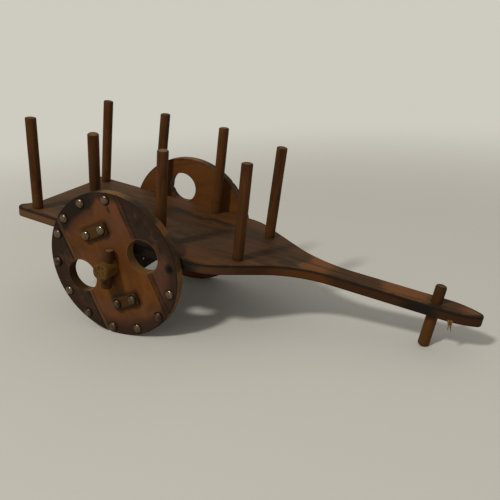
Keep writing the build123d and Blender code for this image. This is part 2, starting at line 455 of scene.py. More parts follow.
def plank_finish(sizes, tones):
    """Scorched plank: streaks along the grain, bare patches on the pole and burnt edges."""
    material, place = start_finish("plank_wood")
    axes = bed_coordinates(place, sizes)
    along, across, up = axes
    whole = sizes.plank_length * MM
    share = along / whole
    fibre = grain(axes, (0.03, 0.55, 0.55), 7.0, 0.62, 0.6)
    band = grain(axes, (0.008, 0.085, 0.085), 3.0, 0.5, 1.4)
    wander = grain(axes, (0.03, 0.05, 0.05), 4.0, 0.6)
    soot = grain(axes, (0.10, 0.12, 0.16), 5.0, 0.65)
    streak = grain(axes, (0.012, 0.30, 0.06), 4.0, 0.6)
    patch = grain(axes, (0.022, 0.05, 0.02), 3.0, 0.55, 0.8)
    ribbon = grain(axes, (0.018, 0.065, 0.065), 3.0, 0.5, 0.8)

    spot = (along + (wander - 0.5) * 14 + (soot - 0.5) * 10 + (streak - 0.5) * 22) / whole
    sides, top = (
        spot.ramp([(stop, getattr(tones, name)) for stop, name in table])
        for table in (PLANK_SIDES, PLANK_TOP)
    )
    left, right = (share.ramp(plank_reach(side, sizes), "LINEAR") * whole for side in ("left", "right"))
    gap = (left - across).least(right + across).least(along + 5.0)
    is_top = up.rise(-0.55, -0.1)
    on_bed = is_top * share.fall(*BED_END)
    wood = is_top.mix(sides, top)
    wood = wood.coat(tones.plank_tan, band.between((0.36, 0.50), (0.50, 0.62)) * is_top * 0.25)
    wood = wood.coat(tones.plank_dark, band.rise(0.52, 0.72) * 0.65)

    # Smoked in the middle, worn paler along the bed's long edges, with rosy and dark ribbons
    wood = wood.coat(tones.plank_dark, (patch + gap * 0.006).rise(0.50, 0.66) * on_bed * 0.4)
    wood = wood.coat(tones.plank_tan, gap.fall(4.0, 20.0) * on_bed * (patch + wander).rise(0.75, 1.15) * 0.36)
    wood = wood.coat(tones.rosy, ribbon.rise(0.50, 0.62) * on_bed * 0.26)
    wood = wood.coat(tones.plank_dark, ribbon.fall(0.36, 0.47) * on_bed * 0.5)

    # Smoke beside the right wheel, and a warm strip with a dark streak along the left one
    ragged = across + (wander - 0.5) * 26 + (soot - 0.5) * 8
    smoke = distance((along - SMOKE_PLACE[0]) / SMOKE_REACH[0], (ragged - SMOKE_PLACE[1]) / SMOKE_REACH[1])
    smoked = soot.rise(0.40, 0.64).mix(tones.plank_rear, tones.plank_dark)
    wood = wood.coat(smoked, smoke.fall(0.35, 1.25) * is_top * 0.75)
    by_left_wheel = along.between(*BY_LEFT_WHEEL) * is_top
    wood = wood.coat(tones.side_red, by_left_wheel * ragged.rise(22.0, 36.0) * 0.45)
    wood = wood.coat(tones.burnt, by_left_wheel * abs(ragged - STREAK_PLACE).fall(1.0, 6.0) * 0.75)
    wood = wood.coat(PALE_GRAIN, fibre.fall(0.30, 0.50) * 0.12, "MULTIPLY")
    wood = wood.coat(tones.burnt, fibre.rise(0.52, 0.76) * 0.14)

    # Burnt edges, apart from the stretches that the torch has spared
    spared = (share.between(*SPARED_EDGE) * 0.75).most(by_left_wheel * across.rise(20.0, 30.0))
    rim_burn = gap.fall(0.5, 1.3 + soot.rise(0.45, 0.80) * 6.0) * is_top * (1 - spared)
    # Beside the right wheel the top's near edge gets a wider dark band, partly burn and partly painted shade of
    # the wheel
    by_right_wheel = along.between(*BY_RIGHT_WHEEL) * gap.fall(4.0, 9.0) * is_top * across.fall(-10.0, 10.0)
    edge_burn = up.rise(-2.9, -0.9) * (1 - is_top)
    low_burn = up.fall(-7.9, -6.2) * 0.7
    burn_and_shade = rim_burn.most(edge_burn).most(low_burn).most(by_right_wheel * 0.9) * (0.6 + soot * 0.7)
    wood = wood.coat(tones.burnt, burn_and_shade)

    gloss = 0.52 + fibre * 0.14 + burn_and_shade * 0.15
    relief = fibre * 0.45 + soot * 0.30 + band * 0.4
    return close_finish(material, shade(place, wood, gloss, relief, depth=0.00016, specular=0.08))


# The wheels: the planks' turn at rest, the ways that the burnt tread and the black crescent face, how burnt
# the rim's edge is, and the seeds of the wood and of the tacks
WHEELS = {
    "right": SimpleNamespace(
        turn=radians(20.8), burnt_way=Vector((-0.72, 0, 0.69)), crescent_way=Vector((-0.57, 0, 0.82)),
        edge_burn=0.8, wood_seed=11.0, tack_seed=4,
    ),
    "left": SimpleNamespace(
        turn=radians(83.2), burnt_way=Vector((0.7, 0, -0.7)), crescent_way=Vector((0.7, 0, -0.7)),
        edge_burn=0.35, wood_seed=47.0, tack_seed=9,
    ),
}
SMOKED_TREAD_WAY = (0.8, 0.0, 0.6)
DOWNWARDS = (0.0, 0.0, -1.0)
# Marks of two lost tacks on the right wheel and a stretch of its tread that the torch has spared, as angles
# from the line across the planks, and a knot's place in millimetres across and along them
TACK_HOLE_ANGLE = radians(343.8)
TACK_RING_ANGLE = radians(12.7)
SPARED_TREAD_ANGLE = radians(14.7)
KNOT = (19.0, 38.6)


def wheel_directions(side):
    """Directions across a wheel's planks, along them and outwards, at rest."""
    way, turn = SIDES[side], WHEELS[side].turn
    flat, tall, out = Vector((-way, 0, 0)), Vector((0, 0, 1)), Vector((0, way, 0))
    return flat * cos(turn) + tall * sin(turn), tall * cos(turn) - flat * sin(turn), out


def wheel_spot(side, x, y, height):
    """A place on a wheel, across and along its planks and out from its outer face."""
    across, along, out = wheel_directions(side)
    return HUB + across * x + along * y + out * (FACES[side] + height)


def wheel_surface(place, side, sizes):
    """Places on a wheel, from its hub and its outer face, and the noises of its wood."""
    across_way, along_way, out_way = wheel_directions(side)
    offset = place.vector("SUBTRACT", place, HUB * MM)
    across, along = offset.along(across_way), offset.along(along_way)
    depth = FACES[side] * MM - offset.along(out_way)
    axes, seed = (across, along, depth), WHEELS[side].wood_seed
    reach, beside = distance(across, along), abs(across)
    radius, line = sizes.wheel_radius * MM, sizes.plank_line * MM
    return SimpleNamespace(
        across=across, along=along, depth=depth, reach=reach, beside=beside, line=line,
        rim=radius - reach,
        thick=sizes.wheel_depth * MM,
        on_right=across.rise(-1.0, 1.0),
        on_side=beside.rise(line - 0.6, line + 0.6),
        # How far a place lies towards a way, as a share of the radius and as the cosine of the angle
        toward=lambda way: offset.along(way) / radius,
        facing=lambda way: offset.along(way) / reach.most(1.0),
        fibre=grain(axes, (0.85, 0.045, 0.5), 8.0, 0.66, 0.7, seed),
        band=grain(axes, (0.07, 0.016, 0.1), 3.0, 0.5, 1.5, seed),
        cloud=grain(axes, (0.06, 0.06, 0.02), 4.0, 0.62, 0.0, seed),
        soot=grain(axes, (0.16, 0.13, 0.05), 5.0, 0.65, 0.0, seed),
        smoke=grain(axes, (0.20, 0.055, 0.05), 5.0, 0.7, 1.0, seed),
        haze=grain(axes, (0.04, 0.03, 0.02), 3.0, 0.55, 0.0, seed * 3),
        blush=grain(axes, (0.045, 0.05, 0.02), 3.0, 0.55, 0.0, seed * 7),
    )


def wheel_planks(at, tones):
    """A middle plank that wanders between orange, olive and rosy brown, and smoked, streaky side planks."""
    middle = (at.band.rise(0.38, 0.66) * 0.6).mix(tones.heart, tones.heart_deep)
    middle = middle.coat(tones.slat, at.haze.rise(0.46, 0.62) * 0.7)
    middle = middle.coat(tones.rosy, at.blush.rise(0.48, 0.64) * 0.6)
    sides = ((at.soot + at.smoke - 0.5).rise(0.30, 0.68) * 0.8).mix(tones.segment, tones.smoked)
    sides = sides.coat(tones.burnt, at.along.rise(-25.0, 30.0) * at.cloud.rise(0.25, 0.60) * 0.5)
    sides = sides.coat(tones.rosy, (at.smoke + at.blush - 0.5).rise(0.48, 0.70) * 0.4)
    sides = sides.coat(tones.rosy, at.on_right * at.along.fall(-12.0, 2.0) * (0.25 + at.fibre * 0.5))
    wood = at.on_side.mix(middle, sides)
    wood = wood.coat(WARM_GRAIN, at.fibre.fall(0.30, 0.52) * 0.2, "MULTIPLY")
    return wood.coat(tones.scorched, at.fibre.rise(0.54, 0.80) * 0.22)


def rim_burns(at, side):
    """Masks of the scorched rim, of its charred edge and crescent, and of the rosy wood inside them."""
    crescent = (at.facing(WHEELS[side].crescent_way) + (at.cloud - 0.5) * 0.10).rise(0.865, 0.945)
    low = at.toward(DOWNWARDS)
    patchy = 3.0 + low.rise(-0.4, 0.3) * 5.0 + low.rise(0.6, 0.95) * 6.0
    width = 2.5 + at.soot * 3.0 + at.cloud * patchy + crescent * 8.0
    scorch_end = width * (1.5 - crescent * 0.15) + crescent * 6.0 + low.rise(0.5, 0.95) * 9.0
    scorch = at.rim.fall(width * 0.55, scorch_end)
    strength = 0.22 + crescent * 0.62 + low.rise(0.7, 1.0) * 0.25
    char = at.rim.fall(width * (0.35 + crescent * 0.35), width) * strength
    upper_right = at.across.rise(-2.0, 16.0) * at.along.rise(0.0, 26.0)
    blushed = (at.rim.fall(width * 1.1, width * 1.4 + 5.0) * 0.45).most(upper_right * 0.5)
    return scorch, char, blushed * (1 - at.on_side)


def wheel_lines(at, char, wood, sizes, tones):
    """Soft brown outlines around the slats, partly painted shade, and around the hub, and carved lines with dark
    edges whose floors hold painted light and shade.
    """
    # Around each raised slat a soft brown outline, partly burn and partly painted shade, and a darker brown ring
    # round the hub
    slat_across = (at.beside - sizes.slat_length * MM / 2).most(0.0)
    slat_along = (abs(abs(at.along) - sizes.slat_reach * MM) - sizes.slat_width * MM / 2).most(0.0)
    by_slat = distance(slat_across, slat_along).fall(0.2, 2.0 + at.soot * 3.0)
    wood = wood.coat(tones.halo, by_slat.most(at.reach.fall(7.0, 12.5) * 0.7) * 0.6)
    from_line, half = abs(at.beside - at.line), sizes.line_half * MM
    # Floors of the carved lines: a paler tone as painted light left of the hub, and a darker, partly burnt tone as
    # painted shade right of it
    groove_light_and_shade = at.on_right.mix(tones.side_light, tones.groove)
    groove_light_and_shade = groove_light_and_shade.coat(tones.burnt, (char * 0.3).most(at.on_right * 0.55))
    shown = 0.25 + at.haze.rise(0.35, 0.60) * 0.75
    wood = wood.coat(groove_light_and_shade, from_line.fall(half * 0.4, half * 0.8) * shown)
    carved = abs(from_line - half * 0.9).fall(0.15, 0.75)
    return wood.coat(tones.burnt, carved * (0.45 + at.soot.rise(0.35, 0.65) * 0.5))


def gap_from(at, reach, angle):
    """How far a place is from a spot that is given by its distance from the hub and its angle."""
    return distance(at.across - reach * cos(angle) * MM, at.along - reach * sin(angle) * MM)


def lost_tack_marks(at, wood, sizes, tones):
    """The painted torn hole, with painted shade in its middle, and the part of a ring that two lost tacks have
    left, and a small knot.
    """
    ragged = (at.soot - 0.5) * 1.6
    ring = gap_from(at, sizes.tack_circle, TACK_RING_ANGLE) + ragged * 0.5
    inward = sizes.tack_circle * cos(TACK_RING_ANGLE) * MM - at.across
    wood = wood.coat(tones.burnt, ring.fall(2.0, 4.4) * 0.3)
    arc = abs(ring - 3.9).fall(0.1, 0.5) * inward.rise(-0.5, 2.5) * at.soot.rise(0.38, 0.54)
    wood = wood.coat(tones.end_grain, arc * 0.4)
    hole = gap_from(at, sizes.tack_circle, TACK_HOLE_ANGLE) + ragged
    wood = wood.coat(tones.burnt, hole.fall(3.0, 4.8) * 0.85)
    wood = wood.coat(tones.heart, abs(hole - 3.6).fall(0.1, 0.8) * at.soot.rise(0.54, 0.66) * 0.35)
    # Painted shade: the near-black middle of the painted hole
    wood = wood.coat(HOLE_SHADE, hole.fall(1.4, 2.6) * 0.9)
    knot = distance(at.across - KNOT[0], (at.along - KNOT[1]) * 0.4) + ragged
    return wood.coat(tones.burnt, knot.fall(0.5, 1.6) * 0.7)


def inner_face(at, tones):
    """The plain inner face, patchily burnt at the rim."""
    wood = (at.band.rise(0.38, 0.70) * 0.6).mix(tones.inner, tones.heart_deep)
    wood = wood.coat(tones.scorched, at.fibre.rise(0.50, 0.80) * 0.5)
    edge = at.rim.fall(0.3, 1.0 + at.soot.rise(0.4, 0.7) * 3.0)
    return wood.coat(tones.burnt, edge * at.soot.rise(0.35, 0.65) * 0.6)


def bare_walls(at, side, to_hole, sizes, tones):
    """Bare wood of the tread, smoked and burnt in places, and of the holes' walls, which soot and painted shade
    darken.
    """
    wood = (at.soot.rise(0.35, 0.75) * 0.6).mix(tones.tread, tones.heart_deep)
    wood = wood.coat(tones.scorched, at.fibre.rise(0.45, 0.75) * 0.4)
    patchy = grain((at.depth, at.across, at.along), (0.13, 0.055, 0.055), 5.0, 0.6, 0.4)
    smoked = at.toward(SMOKED_TREAD_WAY).rise(0.74, 0.90) * (0.55 + patchy.rise(0.36, 0.54) * 0.3)
    smoked = smoked.most(patchy.rise(0.42, 0.64) * 0.4)
    tread = at.rim.fall(3.0, 4.0)
    if side == "right":
        spared = gap_from(at, sizes.wheel_radius, SPARED_TREAD_ANGLE).fall(3.0, 6.5)
        smoked = smoked * (1 - spared)
        wood = wood.coat(tones.heart, tread * spared * 0.8)
        rearward = (at.line - at.beside) * at.across.math("SIGN", at.across) / to_hole.most(0.1)
        wall_soot_and_shade = rearward.rise(-0.1, 0.75) * (0.8 - at.on_right * 0.65)
    else:
        wall_soot_and_shade = 0.55 + at.soot.rise(0.35, 0.65) * 0.35
    wood = wood.coat(tones.smoked, tread * smoked)
    wood = wood.coat(tones.burnt, tread * at.toward(WHEELS[side].burnt_way).rise(0.68, 0.80) * 0.9)
    # The holes' walls, darkened by soot and by painted shade, on the right wheel mostly on one side of each hole
    return wood.coat(tones.halo, at.rim.rise(3.0, 4.0) * wall_soot_and_shade)


def wheel_finish(side, sizes, tones):
    """Wheel: an orange-brown middle plank, scorched side planks, carved lines and a burnt rim."""
    material, place = start_finish(f"wheel_wood_{side}")
    at = wheel_surface(place, side, sizes)
    scorch, char, blushed = rim_burns(at, side)
    wood = wheel_planks(at, tones).coat(tones.rosy, blushed)
    wood = wood.coat(tones.scorched, scorch * 0.85).coat(tones.burnt, char)
    wood = wheel_lines(at, char, wood, sizes, tones)
    if side == "right":
        wood = lost_tack_marks(at, wood, sizes, tones)
    wood = wood.coat(inner_face(at, tones), at.depth.rise(at.thick - 1.2, at.thick - 0.4))

    to_hole = distance(at.beside - at.line, at.along)
    hole_edge = to_hole - sizes.hole_radius * MM
    bare = bare_walls(at, side, to_hole, sizes, tones)
    wood = wood.coat(bare, hole_edge.fall(0.1, 1.0) * 0.5)
    wall = hole_edge.fall(0.02, 0.14).most(at.rim.fall(0.12, 0.42))
    inside = at.depth.between((0.25, 0.6), (at.thick - 0.6, at.thick - 0.25))
    wood = wood.coat(bare, wall * inside)
    wood = wood.coat(tones.burnt, at.rim.fall(0.5, 1.1) * (1 - inside) * WHEELS[side].edge_burn)

    gloss = 0.52 + at.fibre * 0.14 + char * 0.12
    relief = at.fibre * 0.5 + at.soot * 0.35 + at.band * 0.3
    return close_finish(material, shade(place, wood, gloss, relief, depth=0.00016, specular=0.08))


def dowel_finish(name, light, dark, sizes, tones):
    """Stained dowel: streaks along its length, burnt cut edges and paler end grain."""
    material, place = start_finish(name)
    axes = bed_coordinates(place, sizes)
    fibre = grain(axes, (0.95, 0.95, 0.035), 7.0, 0.66, 0.4)
    band = grain(axes, (0.14, 0.14, 0.02), 3.0, 0.55, 0.8)
    smear = grain(axes, (0.05, 0.05, 0.06), 3.0, 0.6)
    pores = grain(axes, (1.3, 1.3, 1.3), 3.0, 0.7)
    cut, bare, stain = (surface_attribute(place, mark) for mark in ("cut", "bare", "stain"))
    wood = band.rise(0.34, 0.66).mix(light, dark)
    wood = wood.coat(PALE_GRAIN, fibre.fall(0.32, 0.52) * 0.25, "MULTIPLY")
    wood = wood.coat(tones.burnt, fibre.rise(0.54, 0.78) * 0.35)
    wood = wood.coat(dark, smear.rise(0.52, 0.72) * 0.5)
    wood = wood.coat(tones.halo, stain * 0.6)
    wood = wood.coat(tones.burnt, abs(cut - 0.5).fall(0.08, 0.45) * (0.75 - bare * 0.6))
    face = cut.rise(0.66, 0.92)
    tip = (pores.rise(0.42, 0.70) * 0.6).mix(tones.end_grain, dark)
    wood = wood.coat(tip, face * (0.15 + bare * 0.85))
    gloss = 0.54 + fibre * 0.14 + face * 0.2
    relief = fibre * 0.5 + pores * 0.25
    return close_finish(material, shade(place, wood, gloss, relief, depth=0.0002, specular=0.07))


def raw_finish(sizes, tones):
    """Whittled axle: bare olive wood with knife marks and pitted ends, with painted shade on the part under the
    bed.
    """
    material, place = start_finish("raw_wood")
    axes = bed_coordinates(place, sizes)
    fibre = grain(axes, (0.9, 0.04, 0.9), 7.0, 0.66, 0.5)
    stain = grain(axes, (0.12, 0.05, 0.12), 4.0, 0.6)
    pits = grain(axes, (0.8, 0.2, 0.8), 3.0, 0.65)
    cut = surface_attribute(place, "cut")
    wood = (stain.rise(0.36, 0.70) * 0.7).mix(tones.raw, tones.heart_deep)
    wood = wood.coat(tones.scorched, fibre.rise(0.50, 0.80) * 0.5)
    wood = wood.coat(tones.burnt, pits.rise(0.53, 0.60) * cut.rise(0.4, 0.8) * 0.8)
    # Painted shade: the part of the axle under the bed is darkened
    wood = wood.coat(tones.plank_dark, abs(axes[1]).fall(47.0, 52.5))
    gloss, relief = 0.55 + fibre * 0.15, fibre * 0.5 - pits * 0.8
    return close_finish(material, shade(place, wood, gloss, relief, depth=0.0003, specular=0.1))


def slat_finish(tones):
    """Slats: the wheel's own wood with burnt edges, and painted shade that darkens them towards the floor."""
    material, place = start_finish("slat_wood")
    fibre = place.vector("MULTIPLY", place, (0.5, 0.9, 0.5)).speckle(1.0, 7.0, 0.66, 0.6)
    soot = place.speckle(0.22, 4.0, 0.6)
    edge = surface_attribute(place, "edge")
    wood = (soot.rise(0.35, 0.70) * 0.6).mix(tones.slat, tones.heart_deep)
    wood = wood.coat(tones.scorched, fibre.rise(0.50, 0.78) * 0.45)
    # Painted shade: the slats darken towards the floor
    wood = wood.coat(tones.halo, place.along((0.0, 0.0, 1.0)).fall(30.0, 55.0) * 0.4)
    wood = wood.coat(tones.halo, (edge + (soot - 0.5) * 0.7).rise(0.35, 1.05) * 0.7)
    gloss, relief = 0.48 + fibre * 0.14, fibre * 0.6 + soot * 0.4
    return close_finish(material, shade(place, wood, gloss, relief, depth=0.00025, specular=0.1))


def tack_finish(name, plating, tones):
    """Plated domes, rubbed bright on top, pitted and tarnished by degrees, with a dark rim that is partly tarnish
    and partly painted shade.
    """
    material, place = start_finish(name)
    spots = place.speckle(0.55, 5.0, 0.7)
    pits = place.speckle(0.7, 3.0, 0.65)
    scratch = place.vector("MULTIPLY", place, (1.1, 0.6, 0.8)).speckle(1.0, 5.0, 0.7)
    age, worn = surface_attribute(place, "tarnish"), surface_attribute(place, "rub")
    dull = (age + (spots - 0.5) * 1.4 + 0.5 - worn).rise(0.10, 0.90)
    metal = (scratch.rise(0.35, 0.70) * 0.4).mix(plating, tones.tarnish)
    metal = metal.coat(tones.tarnish, dull * 0.9)
    metal = metal.coat(tones.burnt, pits.rise(0.50, 0.62) * (0.45 + age * 0.4))
    # The dark low ring of each dome is partly tarnish and partly painted shade, standing in for the dark that its
    # rim reflects
    metal = metal.coat(tones.burnt, worn.fall(0.10, 0.74) * 0.85)
    rough = 0.15 + scratch * 0.10 + dull * 0.24
    relief = spots * 0.6 + scratch * 0.3 - pits * 0.8
    return close_finish(material, shade(place, metal, rough, relief, depth=0.00016, metallic=1.0))


def splinter_finish(tones):
    """Torn wood fibres."""
    material, place = start_finish("splinter_wood")
    fibre = place.speckle(0.8, 5.0, 0.6)
    wood = fibre.rise(0.35, 0.75).mix(tones.splinter, tones.raw)
    return close_finish(material, shade(place, wood, 0.6 + fibre * 0.1, fibre, depth=0.0001, specular=0.2))


# Share of the floor's radius at which it has faded into the backdrop
FADE_END = 0.4


def floor_finish(stage):
    """Plain pale floor that fades into the backdrop's colour away from the cart."""
    material, place = start_finish("floor")
    cloud = place.speckle(0.004, 3.0, 0.5)
    base = (cloud.rise(0.2, 0.8) * 0.08).mix(stage.floor, stage.backdrop)
    matt = shade(place, base, 0.8 + cloud * 0.1, cloud, depth=0.0001, specular=0.2)
    reach = place.vector("LENGTH", place.vector("MULTIPLY", place, (1.0, 1.0, 0.0)), output=1)
    far = reach.rise(stage.fade_start * MM, stage.floor_radius * FADE_END * MM)
    glow = place.add("ShaderNodeEmission", None, {"Color": stage.backdrop, "Strength": 1.0})
    seen = far * backdrop_seen(place)
    return close_finish(material, place.add("ShaderNodeMixShader", None, {0: seen, 1: matt, 2: glow}))


# A ring of a shaft: its height and radius, how square it is, how deep its whittled facets are, and a mark
# from 0 on the shaft's side to 1 on its cut end
Ring = namedtuple("Ring", "height radius square facet cut", defaults=(0, 0.0, 0.0))
# A square ring's corners, as a share of its half width, and the depth of saw marks on a cut end
CORNER_REACH = 1.31
SAW_MARK = 0.00012


def loft(name, rings, base, axis, seed, sides, wobble, bare=0.5, slant=(0.0, 0.0), stained_from=1.0):
    """A closed shaft through rings, uneven by hand, with a slanted cut at its top."""
    axis = axis.normalized()
    toward = (BED_FORWARD - axis * BED_FORWARD.dot(axis)).normalized()
    beside = axis.cross(toward)
    points = []
    for height, radius, square, facet, cut in rings:
        for step in range(sides):
            angle = 2 * pi * step / sides
            c, s = cos(angle), sin(angle)
            corner = min(1 / max(abs(c), abs(s)), CORNER_REACH)
            reach = radius * (1 + square * (corner - 1))
            drift = noise.noise(Vector((c * 1.3 + seed, s * 1.3, height * 55)))
            knife = noise.noise(Vector((round(angle * 1.6) + seed, height * 90, 3.7)))
            reach += radius * (wobble * drift - facet * (0.5 + 0.5 * knife))
            lift = 0.0
            if cut > 0.9:
                lift = SAW_MARK * noise.noise(Vector((c * reach * 700, s * reach * 700, seed))) - SAW_MARK
            if cut > 0 and height > rings[0].height + radius:
                lift += slant[0] * c * reach + slant[1] * s * reach - max(map(abs, slant)) * radius
            points.append(base + axis * (height + lift) + toward * (c * reach) + beside * (s * reach))
    points += [base + axis * ring.height for ring in (rings[0], rings[-1])]
    owners = [ring for ring in rings for step in range(sides)] + [rings[0], rings[-1]]
    last = (len(rings) - 1) * sides

    def around(start):
        """Pairs of neighbours on the ring that starts at a point."""
        return [(start + step, start + (step + 1) % sides) for step in range(sides)]

    faces = [(a, b, b + sides, a + sides) for start in range(0, last, sides) for a, b in around(start)]
    faces += [(len(points) - 2, b, a) for a, b in around(0)]
    faces += [(len(points) - 1, a, b) for a, b in around(last)]
    marks = {
        "cut": [ring.cut for ring in owners],
        "bare": [bare] * len(owners),
        "stain": [float(ring.height > stained_from) for ring in owners],
    }
    return marked_mesh(name, points, faces, marks, sharp=48)


# How many rings shaft_rings gives a cut end
END_RINGS = 5


def shaft_rings(low, high, radius, ease, spacing=0.0025):
    """Rings of a plain dowel between two heights, with rounded cut ends at both."""
    end = [Ring(0.0, radius * share, cut=1.0) for share in (0.25, 0.5, 0.72)]
    end += [Ring(0.0, radius - ease, cut=0.85), Ring(ease * 0.3, radius - ease * 0.3, cut=0.5)]
    rings = [ring._replace(height=low + ring.height) for ring in end]
    for height in np.linspace(low + ease, high - ease, max(3, int((high - low) / spacing))):
        rings.append(Ring(float(height), radius))
    return rings + [ring._replace(height=high - ring.height) for ring in reversed(end)]


def placed_pin(mount, top_ease):
    """The top of a mount's pin, its direction and its radius."""
    pin = MOUNTS[mount]
    axis = Vector(pin["axis"]).normalized()
    top = Vector(pin["pos_m"]) + axis * (pin["dims"]["length_mm"] / MM / 2 + top_ease)
    return top, axis, pin["dims"]["r_mm"] / MM


class OXCART_OT_plank(bpy.types.Operator):
    """Finish the plank that is both the bed and the pole"""

    bl_idname = "oxcart.plank"
    bl_label = "Plank"

    def execute(self, context):
        dress("bed_board", plank_finish(context.scene.cart_sizes, context.scene.cart_finish))
        return {"FINISHED"}


class OXCART_OT_stakes(bpy.types.Operator):
    """Make the eight hand-cut dowel stakes"""

    bl_idname = "oxcart.stakes"
    bl_label = "Stakes"

    # From the rear: how bare each stake's top is, and the slant of its cut along and across the cart
    TOPS = {
        "right": ((0.45, (0.02, -0.05)), (0.60, (-0.06, 0.10)), (1.0, (0.03, 0.04)), (0.5, (0.04, -0.02))),
        "left": ((0.25, (-0.05, 0.03)), (0.10, (0.02, 0.08)), (0.55, (0.05, 0.02)), (0.3, (-0.03, 0.05))),
    }
    SHOULDER = 0.0002

    def execute(self, context):
        sizes, tones = context.scene.cart_sizes, context.scene.cart_finish
        finish = dowel_finish("stake_wood", tones.stake, tones.stake_dark, sizes, tones)
        foot = [Ring(height, sizes.stake_foot_radius) for height in (-sizes.stake_foot, 0.0)]
        for side, tops in self.TOPS.items():
            for row, (bare, slant) in enumerate(tops, 1):
                node = f"stake_{side}_{row}"
                top, axis, radius = placed_pin(node + "_pin", sizes.dowel_ease)
                shaft = shaft_rings(self.SHOULDER, sizes.stake_height, radius, sizes.dowel_ease)
                mesh = loft(
                    f"dowel_{node}", foot + shaft[END_RINGS:], top - axis * sizes.stake_height, axis,
                    row * 7.3 + SIDES[side] * 3.6, sizes.dowel_sides, wobble=0.018, bare=bare, slant=slant,
                )
                add_piece(mesh, "cart", "stake_wood", node, material=finish)
        return {"FINISHED"}


class OXCART_OT_peg(bpy.types.Operator):
    """Make the peg through the pole's tip"""

    bl_idname = "oxcart.peg"
    bl_label = "Pole peg"

    FOOT_EASE = 0.001
    PIN_EASE = 0.0014
    SHOULDER = 0.0004
    STAINED_FROM = -0.002

    def execute(self, context):
        sizes, tones = context.scene.cart_sizes, context.scene.cart_finish
        top, axis, radius = placed_pin("draught_pin", self.PIN_EASE)
        lower = shaft_rings(-sizes.peg_below, 0.0, sizes.peg_radius, self.FOOT_EASE)[:-END_RINGS]
        upper = shaft_rings(self.SHOULDER, sizes.pin_height, radius, self.PIN_EASE)[END_RINGS:]
        mesh = loft(
            "peg_dowel", lower + upper, top - axis * sizes.pin_height, axis, 91.0, sizes.dowel_sides,
            wobble=0.02, bare=0.2, stained_from=self.STAINED_FROM,
        )
        finish = dowel_finish("peg_wood", tones.peg, tones.stake, sizes, tones)
        add_piece(mesh, "cart", "peg_wood", "pole_peg", material=finish)
        return {"FINISHED"}


class OXCART_OT_axle(bpy.types.Operator):
    """Whittle the axle and its linchpins"""

    bl_idname = "oxcart.axle"
    bl_label = "Axle and linchpins"

    SIDE_PLAY = 0.0005
    AXLE_SIDES = 56
    END_EASE = 0.0009
    END_FACET = 0.045
    RUNNING_SHARE = 0.985
    PIN_EASE = 0.0006
    PIN_TAPER = 0.16
    PIN_FACET = 0.03
    PIN_LEAN = 0.05
    PIN_SLANT = (0.12, -0.05)

    def execute(self, context):
        sizes, tones = context.scene.cart_sizes, context.scene.cart_finish
        half = self.half_axle(sizes)
        rings = [ring._replace(height=-ring.height) for ring in reversed(half)] + half
        mesh = loft("whittled_axle", rings, HUB, ACROSS, 23.0, self.AXLE_SIDES, wobble=0.012)
        add_piece(mesh, "cart", "raw_wood", "axle", material=raw_finish(sizes, tones))
        finish = dowel_finish("linchpin_wood", tones.slat, tones.stake_dark, sizes, tones)
        for side, way in SIDES.items():
            low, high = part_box(f"linchpin_{side}")
            mesh = loft(
                f"linchpin_dowel_{side}", self.pin(sizes), (low + high) / 2,
                BED_UP + BED_FORWARD * self.PIN_LEAN, 60.0 + way, sizes.dowel_sides, wobble=0.03, bare=0.7,
                slant=self.PIN_SLANT,
            )
            add_piece(mesh, "cart", "stake_wood", f"linchpin_{side}", material=finish)
        return {"FINISHED"}

    def half_axle(self, sizes):
        """Rings of the square beam, the round part inside the wheel and the whittled end, from the middle."""
        wheel_low, wheel_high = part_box("wheel_left")
        shoulder, face, end = wheel_low.y - self.SIDE_PLAY, wheel_high.y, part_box("axle")[1].y
        radius, ease, facet = sizes.spindle_radius, self.END_EASE, self.END_FACET
        rings = [Ring(height, sizes.beam_half, 1, 0.02) for height in np.linspace(0.004, shoulder, 16)]
        rings += [Ring(height, radius * self.RUNNING_SHARE) for height in (shoulder, face)]
        rings += [Ring(height, radius, 0, facet) for height in np.linspace(face + 0.0006, end - ease, 8)]
        rings.append(Ring(end - ease * 0.3, radius - ease * 0.4, 0, facet, 0.6))
        rings.append(Ring(end, radius - ease, 0, facet, 1.0))
        return rings + [Ring(end, radius * share, 0, 0.04, 1.0) for share in (0.66, 0.42, 0.2)]

    def pin(self, sizes):
        """Rings of a linchpin, thinner upwards."""
        half = sizes.linchpin_length / 2
        return [
            ring._replace(radius=ring.radius * (1 - self.PIN_TAPER * (0.5 + ring.height / half / 2)),
                          facet=self.PIN_FACET)
            for ring in shaft_rings(-half, half, sizes.linchpin_radius, self.PIN_EASE)
        ]


class OXCART_OT_wheels(bpy.types.Operator):
    """Finish the two disc wheels"""

    bl_idname = "oxcart.wheels"
    bl_label = "Wheels"

    def execute(self, context):
        for side in SIDES:
            dress(f"wheel_{side}", wheel_finish(side, context.scene.cart_sizes, context.scene.cart_finish))
        return {"FINISHED"}


